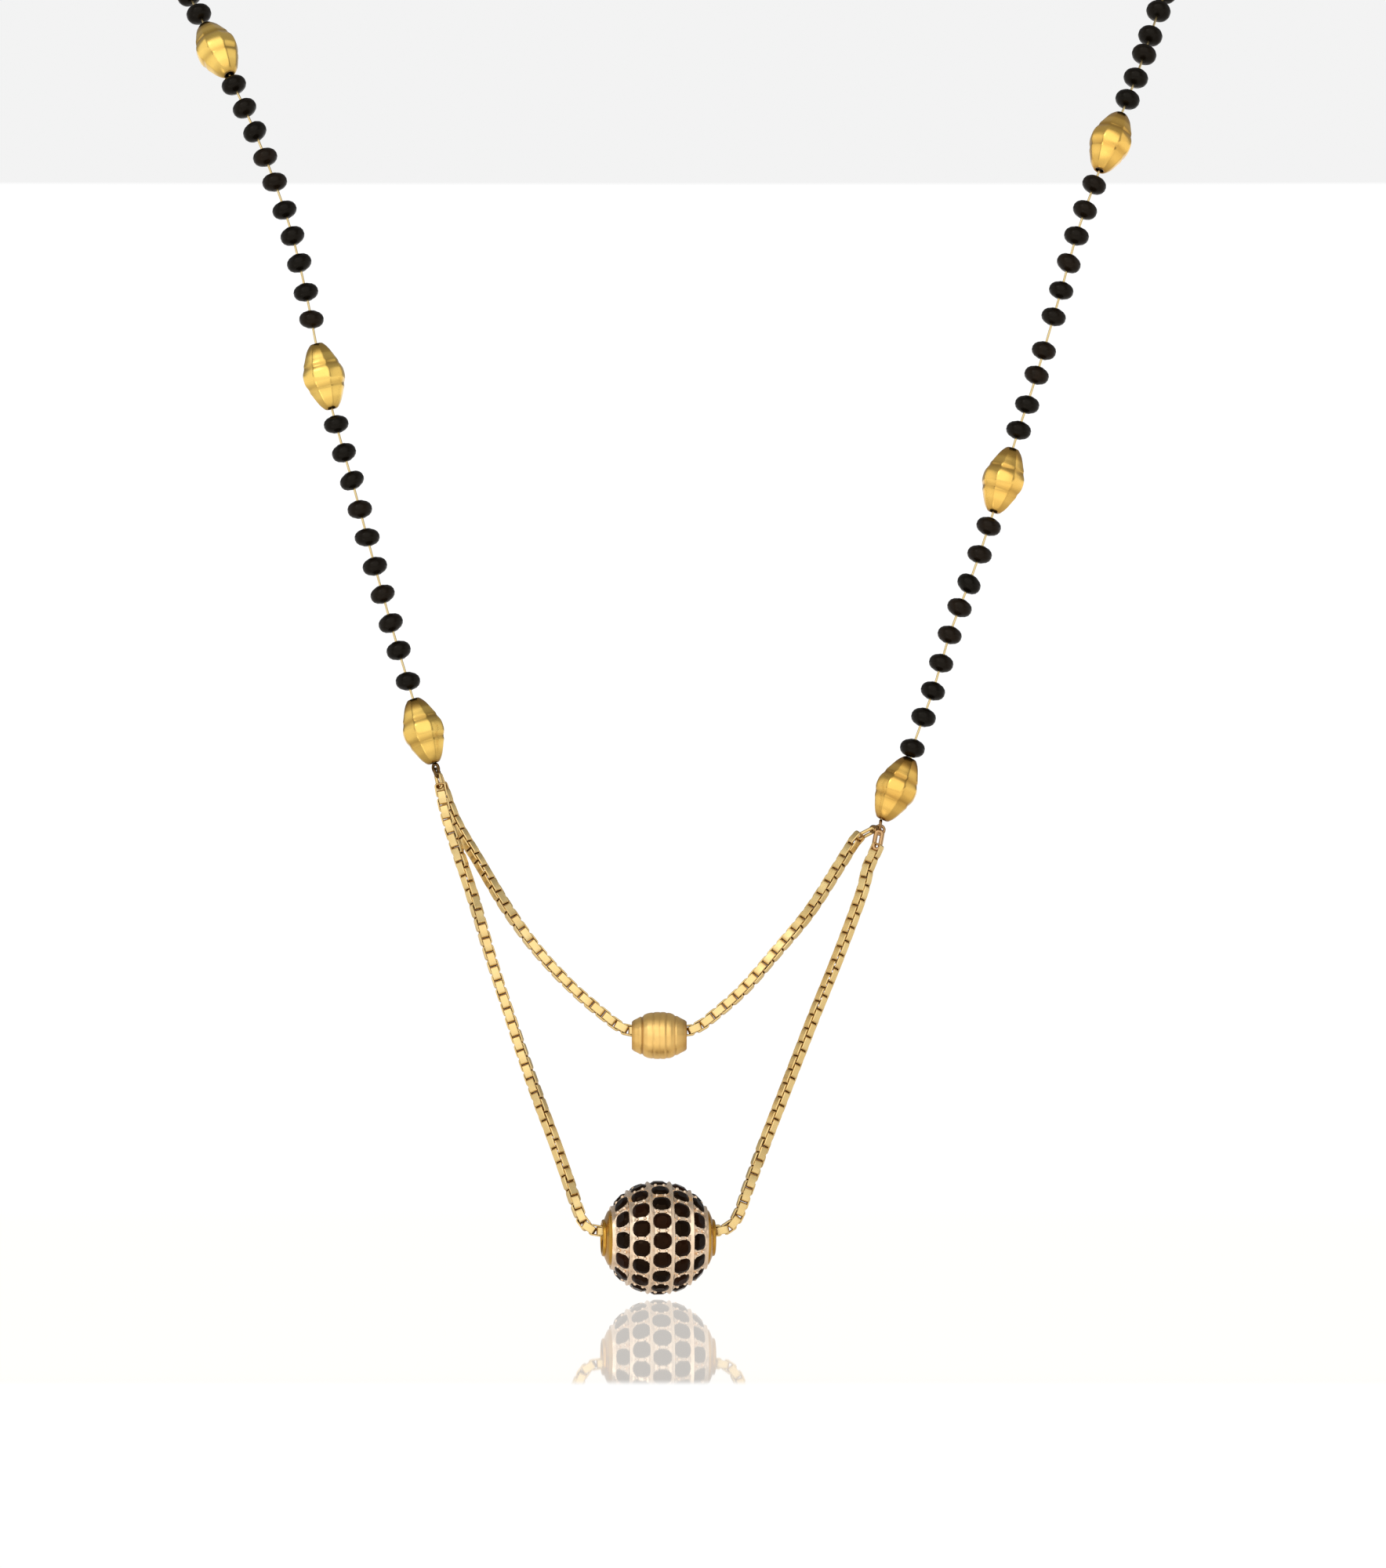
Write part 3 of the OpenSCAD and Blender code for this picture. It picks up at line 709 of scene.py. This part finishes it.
def ball_metal():
    R, bore = 5.62, 1.5
    places = stone_places()
    n = 240
    outline = []
    lat_end = math.radians(71)
    for l in np.linspace(-lat_end, lat_end, 143):
        outline.append((R * math.cos(l), R * math.sin(l)))
    x_end = R * math.sin(lat_end)
    r_end = R * math.cos(lat_end)
    # the cap's dome turns in to the bore over a small round
    collar = [(1.89, 5.60), (1.86, 5.70), (1.79, 5.765), (1.70, 5.79), (1.60, 5.775), (1.53, 5.72), (bore, 5.62)]
    full = [(r, -x) for r, x in collar[::-1]] + outline + collar
    full += [(bore, 4.0), (bore, 0), (bore, -4.0)]
    m = len(full)
    rows = np.array(full)
    ang = np.arange(n) * 2 * math.pi / n
    P = np.zeros((m, n, 3))
    P[:, :, 0] = rows[:, 1][:, None]
    P[:, :, 1] = rows[:, 0][:, None] * np.cos(ang)
    P[:, :, 2] = rows[:, 0][:, None] * np.sin(ang)
    first, last = len(collar), len(collar) + len(outline)
    S = P[first:last]
    rad = np.linalg.norm(S, axis=2, keepdims=True)
    U = S / rad
    lat = np.degrees(np.arcsin(U[:, :, 0]))
    ridge = np.zeros(lat.shape)
    for c in (-57, -34, -11.25, 11.25, 34, 57):
        ridge += np.exp(-((lat - c) / 1.8) ** 2)
    # low spots under each stone
    rows_a = np.arctan2(U[:, :, 2], U[:, :, 1])
    dist = np.full(lat.shape, 9.0)
    for l0, count, first_a in RINGS:
        near = (rows_a - math.radians(first_a)) / (2 * math.pi / count)
        off = (near - np.round(near)) * 2 * math.pi / count
        du = R * np.radians(lat - l0) / STONE_U
        dv = R * np.cos(math.radians(l0)) * off / STONE_V
        dist = np.minimum(dist, (np.abs(du) ** STONE_POWER + np.abs(dv) ** STONE_POWER) ** (1 / STONE_POWER))
    dist = dist * STONE_R
    pit = np.clip((STONE_R - 0.02 - dist) / 0.12, 0, 1)
    paved = np.clip((58.5 - np.abs(lat)) / 2, 0, 1)
    low = paved * np.clip((dist - STONE_R - 0.1) / 0.3, 0, 1) * (1 - ridge.clip(0, 1))
    height = 0.24 * ridge * (1 - pit) - 0.34 * pit - 0.07 * low
    capwall = np.clip((np.abs(lat) - 59) / 3, 0, 1)
    height = height + 0.21 * capwall
    S += U * height[:, :, None]
    # painted shade: darker in the stone pits and the low spots round them, and inside the bore
    tint_and_painted_shade = np.zeros((m, n))
    tint_and_painted_shade[first:last] = np.clip(0.9 * pit + 0.35 * low, 0, 1)
    tint_and_painted_shade[-3:] = 1
    tint_and_painted_shade[:1] = 0.6
    faces = lathe(m, n, True)
    v = P.reshape(-1, 3) @ ball_frame().T + BALL_AT
    soup = Soup()
    # the turn from axis to ring runs the other way here, so the faces are flipped
    soup.add(v, [f[::-1] for f in faces], tint_and_painted_shade.reshape(-1))
    obj = make("ball_pendant_metal", soup, [BALLGOLD, CAPGOLD], ["ball_pendant"], sharp=50)
    cap_lat = 58.5
    idx = np.zeros(len(obj.data.polygons), np.int32)
    rows_lat = np.zeros(m)
    rows_lat[first:last] = lat[:, 0]
    rows_lat[:first] = -90
    rows_lat[last:] = 90
    i = np.arange(len(idx)) // n
    idx[np.abs(rows_lat[np.minimum(i, m - 1)]) > cap_lat] = 1
    obj.data.polygons.foreach_set("material_index", idx)
    return obj


def stone_shape():
    """A cushion-cut stone with its crown up Z, girdle at Z 0: table, slanted crown in two steps, then a plain drum below.
    X runs along the ball's bore and Y round it."""
    n = 24
    a = np.arange(n) * 2 * math.pi / n + math.pi / n
    c, s = np.cos(a), np.sin(a)
    k = (np.abs(c) ** STONE_POWER + np.abs(s) ** STONE_POWER) ** (-1 / STONE_POWER)
    rows = [(1.0, 0.97, -0.30), (1.0, 1.0, 0.0), (1.0, 0.80, 0.15), (1.0, 0.54, 0.25)]
    v = np.concatenate([np.stack([STONE_U * k * c * r, STONE_V * k * s * r, np.full(n, z)], axis=1) for _, r, z in rows])
    return v, lathe(len(rows), n)


def ball_stones():
    v0, f0 = stone_shape()
    F = ball_frame()
    soup = Soup()
    for l, a in stone_places():
        d = F @ np.array([math.sin(l), math.cos(l) * math.cos(a), math.cos(l) * math.sin(a)])
        along = F @ np.array([math.cos(l), -math.sin(l) * math.cos(a), -math.sin(l) * math.sin(a)])
        across = np.cross(d, along)
        tilt = rng.normal(0, 0.022, 2)
        d2 = unit(d + along * tilt[0] + across * tilt[1])
        B = basis(d2, along)
        t = rng.uniform(-3, 3)
        c, s = math.cos(math.radians(t)), math.sin(math.radians(t))
        R = np.array([[c, -s, 0], [s, c, 0], [0, 0, 1]])
        soup.add(v0 @ R.T @ B.T + BALL_AT + d * (5.545 + rng.uniform(-0.015, 0.015)), f0, rng.uniform(0, 1) ** 2.2)
    make("ball_pendant_stones", soup, [STONE], sharp=20)


def ball_prongs():
    """Pairs of small round beads of metal raised between neighbouring stones of a ring."""
    F = ball_frame()
    soup = Soup()
    v0, f0 = ball(0.19, 12, 8)
    for lat, n, first in RINGS:
        for i in range(n):
            a = math.radians(first + 360 / n * (i + 0.5))
            for e in (-1, 1):
                l = math.radians(lat) + e * 0.42 / 5.6
                d = F @ np.array([math.sin(l), math.cos(l) * math.cos(a), math.cos(l) * math.sin(a)])
                soup.add(v0 * rng.uniform(0.92, 1.06) + BALL_AT + d * 5.63, f0)
    make("ball_pendant_prongs", soup, [BALLGOLD], sharp=0)


# ---- rings and hook --------------------------------------------------------
def joining_ring(side):
    v, f = torus(RING_R, RING_WIRE, 40, 12)
    B = basis(square_to_eye(side, RING_FACE[side]), eye_way(side))
    soup = Soup()
    # painted shade: each ring is in a darker copy of the gold, and the right one is darkened further
    soup.add(v @ B.T + ring_centre(side), f, 0.35)
    node = f"{SIDES[side]}_joining_ring"
    make(node + "_wire", soup, [(SHADED_DARK_GOLD, SHADED_TAN_GOLD)[side]], [node], sharp=0)


def clasp_hook():
    pts = []
    for i in range(49):  # the left bend, from its tip to the middle
        a = math.radians(270 - 270 * i / 48)
        pts.append([-HOOK_R + HOOK_R * math.cos(a), 0, HOOK_R * math.sin(a)])
    for i in range(1, 49):
        a = math.radians(180 + 270 * i / 48)
        pts.append([HOOK_R + HOOK_R * math.cos(a), 0, HOOK_R * math.sin(a)])
    v, f = sweep(pts, HOOK_WIRE, 14, up=(0, 1, 0))
    soup = Soup()
    soup.add(v, f)
    for p in (pts[0], pts[-1]):
        v, f = ball(HOOK_WIRE / 2 * 1.12, 18, 12)
        soup.add(v + np.array(p), f)
    make("clasp_hook_wire", soup, [HOOKGOLD], ["clasp_hook"], sharp=0)


for side in (LEFT, RIGHT):
    for k in range(1, 7):
        gold_bead(side, k)
        black_run(side, k)
    joining_ring(side)
grooved_barrel()
ball_metal()
ball_stones()
ball_prongs()
clasp_hook()

upper_ends, n_upper = chain("upper_chain_links", UPPER, "upper_chain",
                            [(0, 30), (0.16, 45), (0.24, 66), (0.30, 80), (0.40, 82), (0.60, 86), (0.68, 74), (0.78, 66),
                             (0.84, 56), (0.94, 58), (1, 30)], (0.9, 1.5))
lower_ends, n_lower = chain("lower_chain_links", LOWER, "lower_chain",
                            [(0, 88), (0.04, 92), (0.08, 120), (0.10, 135), (0.14, 164), (0.17, 172), (0.22, 180), (0.26, 188),
                             (0.30, 194), (0.34, 216), (0.40, 228), (0.44, 260), (0.46, 270), (0.54, 270), (0.60, 275),
                             (0.66, 286), (0.70, 310), (0.80, 308), (0.86, 315), (0.93, 318), (1, 330)], (0.92, 0.9))


# the oval links that join each chain to its ring
pale, tan, dark = Soup(), Soup(), Soup()
for side, ends in ((LEFT, 0), (RIGHT, 1)):
    rc, ew = ring_centre(side), eye_way(side)
    for chain_ends, name in ((upper_ends, "upper"), (lower_ends, "lower")):
        p, w = (chain_ends[0], chain_ends[1]) if ends == 0 else (chain_ends[2], -chain_ends[3])
        toward = unit(p - rc)
        hold = rc + toward * (RING_R - RING_WIRE / 2 - 0.16)
        if side == RIGHT and name == "upper":
            # a small link in the darker copy of the gold close to the ring, as painted shade, then a pale one turned
            # half on edge, darkened a little as painted shade
            d1 = unit([-0.98, 0, 0.12])
            a, b = rc + d1 * 0.14, rc + d1 * 0.94
            v, f = oval_link(name, a, b, (0, 1, 0.2), 0.36, 0.90)
            dark.add(v, f)
            a, b = b - d1 * 0.33, p - w * 0.15
            v, f = oval_link(name, a, b, (0, 1, 0.9), 0.36, 0.92)
            pale.add(v, f, 0.1)
        elif side == RIGHT:
            # this link is in the tan copy of the gold: painted shade
            v, f = oval_link(name, hold, p - w * 0.1, (0.15, 1, 0), 0.46, 1.12)
            tan.add(v, f)
        else:
            # these links are darkened a little: painted shade
            v, f = oval_link(name, hold, p - w * 0.25, (0, 1, 0) if name == "upper" else (0.6, 1, 0.2), 0.34, 0.9)
            pale.add(v, f, 0.3)
make("chain_end_links", pale, [CHAIN], sharp=0)
make("chain_end_link_shaded_tan", tan, [SHADED_TAN_GOLD], sharp=0)
make("chain_end_link_shaded_dark", dark, [SHADED_DARK_GOLD], sharp=0)


# ---- stage -----------------------------------------------------------------
def floor():
    """A white table, with a polished patch in the middle that shows a faint mirror image."""
    mesh = bpy.data.meshes.new("floor")
    n, r, z = 64, 30.0, -0.1791
    verts = [[0, 0, z]] + [[r * math.cos(2 * math.pi * i / n), r * math.sin(2 * math.pi * i / n), z] for i in range(n)]
    mesh.from_pydata(verts, [], [[0, 1 + i, 1 + (i + 1) % n] for i in range(n)])
    obj = bpy.data.objects.new("floor", mesh)
    bpy.context.scene.collection.objects.link(obj)
    m = bpy.data.materials.new("floor")
    m.use_nodes = True
    t = m.node_tree
    t.nodes.clear()
    N, L = t.nodes.new, t.links.new
    out = N("ShaderNodeOutputMaterial")
    glow = N("ShaderNodeEmission")
    glow.inputs["Strength"].default_value = 1.03
    shade = N("ShaderNodeMix")
    shade.data_type = "RGBA"
    shade.inputs["A"].default_value, shade.inputs["B"].default_value = (1, 1, 1, 1), (0.985, 0.945, 0.895, 1)
    L(shade.outputs["Result"], glow.inputs["Color"])
    gloss = N("ShaderNodeBsdfGlossy")
    gloss.inputs["Color"].default_value = (1, 1, 1, 1)
    gloss.inputs["Roughness"].default_value = 0.015
    co = N("ShaderNodeTexCoord")
    off = N("ShaderNodeVectorMath")
    off.operation = "SUBTRACT"
    off.inputs[1].default_value = (0, -0.13, z)
    L(co.outputs["Object"], off.inputs[0])
    far = N("ShaderNodeVectorMath")
    far.operation = "LENGTH"
    L(off.outputs[0], far.inputs[0])
    k = N("ShaderNodeMapRange")
    k.interpolation_type = "SMOOTHSTEP"
    k.inputs["From Min"].default_value, k.inputs["From Max"].default_value = 0.22, 0.40
    k.inputs["To Min"].default_value, k.inputs["To Max"].default_value = 0.44, 0.0
    L(far.outputs["Value"], k.inputs["Value"])
    # the polish stops at a line in front of the pendant
    sep = N("ShaderNodeSeparateXYZ")
    L(co.outputs["Object"], sep.inputs[0])
    edge = N("ShaderNodeMapRange")
    edge.interpolation_type = "SMOOTHSTEP"
    edge.inputs["From Min"].default_value, edge.inputs["From Max"].default_value = -0.334, -0.318
    L(sep.outputs["Y"], edge.inputs["Value"])
    both = N("ShaderNodeMath")
    both.operation = "MULTIPLY"
    L(k.outputs[0], both.inputs[0])
    L(edge.outputs[0], both.inputs[1])
    part = N("ShaderNodeMath")
    part.operation = "DIVIDE"
    part.inputs[1].default_value = 0.44
    L(both.outputs[0], part.inputs[0])
    L(part.outputs[0], shade.inputs["Factor"])
    mix = N("ShaderNodeMixShader")
    L(both.outputs[0], mix.inputs[0])
    L(glow.outputs[0], mix.inputs[1])
    L(gloss.outputs[0], mix.inputs[2])
    L(mix.outputs[0], out.inputs["Surface"])
    mesh.materials.append(m)
    obj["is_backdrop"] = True


# [azimuth from the front toward the viewer's right, elevation, inner and outer half-angle, strength]
LAMPS = [
    (-8, 25, 27, 50, 1.24),     # the large soft light over the viewer
    (-88, 14, 14, 34, 0.73),    # soft lights at both sides
    (86, 14, 14, 34, 0.62),
    (-38, 40, 4, 11, 2.2),     # a smaller, harder one
    (180, 1, 5, 9, 0.63),      # the lit backdrop
]
SKY = 0.43


def world():
    w = bpy.data.worlds.new("studio")
    bpy.context.scene.world = w
    w.use_nodes = True
    t = w.node_tree
    t.nodes.clear()
    N, L = t.nodes.new, t.links.new
    out, bg = N("ShaderNodeOutputWorld"), N("ShaderNodeBackground")
    co = N("ShaderNodeTexCoord")
    base = N("ShaderNodeValue")
    base.outputs[0].default_value = SKY
    total = base.outputs[0]
    for az, el, inner, outer, strength in LAMPS:
        a, e = math.radians(az), math.radians(el)
        d = (math.sin(a) * math.cos(e), -math.cos(a) * math.cos(e), math.sin(e))
        dot = N("ShaderNodeVectorMath")
        dot.operation = "DOT_PRODUCT"
        dot.inputs[1].default_value = d
        L(co.outputs["Generated"], dot.inputs[0])
        k = N("ShaderNodeMapRange")
        k.interpolation_type = "SMOOTHSTEP"
        k.inputs["From Min"].default_value = math.cos(math.radians(outer))
        k.inputs["From Max"].default_value = math.cos(math.radians(inner))
        k.inputs["To Min"].default_value, k.inputs["To Max"].default_value = 0, strength
        L(dot.outputs["Value"], k.inputs["Value"])
        add = N("ShaderNodeMath")
        add.operation = "ADD"
        L(total, add.inputs[0])
        L(k.outputs[0], add.inputs[1])
        total = add.outputs[0]
    # the backdrop's upper part is a touch greyer
    sep = N("ShaderNodeSeparateXYZ")
    L(co.outputs["Generated"], sep.inputs[0])
    dim = N("ShaderNodeMapRange")
    dim.inputs["From Min"].default_value, dim.inputs["From Max"].default_value = math.sin(math.radians(2.326)), math.sin(math.radians(2.344))
    dim.inputs["To Min"].default_value, dim.inputs["To Max"].default_value = 1.0, 0.845
    L(sep.outputs["Z"], dim.inputs["Value"])
    mul = N("ShaderNodeMath")
    mul.operation = "MULTIPLY"
    L(total, mul.inputs[0])
    L(dim.outputs[0], mul.inputs[1])
    bg.inputs["Color"].default_value = (1, 1, 1, 1)
    L(mul.outputs[0], bg.inputs["Strength"])
    L(bg.outputs[0], out.inputs[0])


floor()
world()

# ---- camera ----------------------------------------------------------------
DIST = 1500.0
cam = bpy.data.cameras.new("camera")
cam.sensor_fit = "AUTO"
cam.sensor_width = 36.0
cam.lens = 36.0 * DIST / 160.0
cam.clip_start, cam.clip_end = 0.05, 100.0
eye = bpy.data.objects.new("camera", cam)
bpy.context.scene.collection.objects.link(eye)
target = Vector((3.44 * MM, -109.0 * MM, -126.84 * MM))
up = math.radians(0.0)
eye.location = target + Vector((0, -math.cos(up), math.sin(up))) * DIST * MM
eye.rotation_mode = "QUATERNION"
eye.rotation_quaternion = (target - eye.location).to_track_quat("-Z", "Y")
bpy.context.scene.camera = eye
bpy.context.scene.view_settings.view_transform = "Standard"
bpy.context.scene.view_settings.look = "None"

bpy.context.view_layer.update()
tris = {o.name: sum(len(p.vertices) - 2 for p in o.data.polygons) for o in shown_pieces()}
print("TRIS", sum(tris.values()), sorted(tris.items(), key=lambda x: -x[1])[:8], "links", n_upper, n_lower)
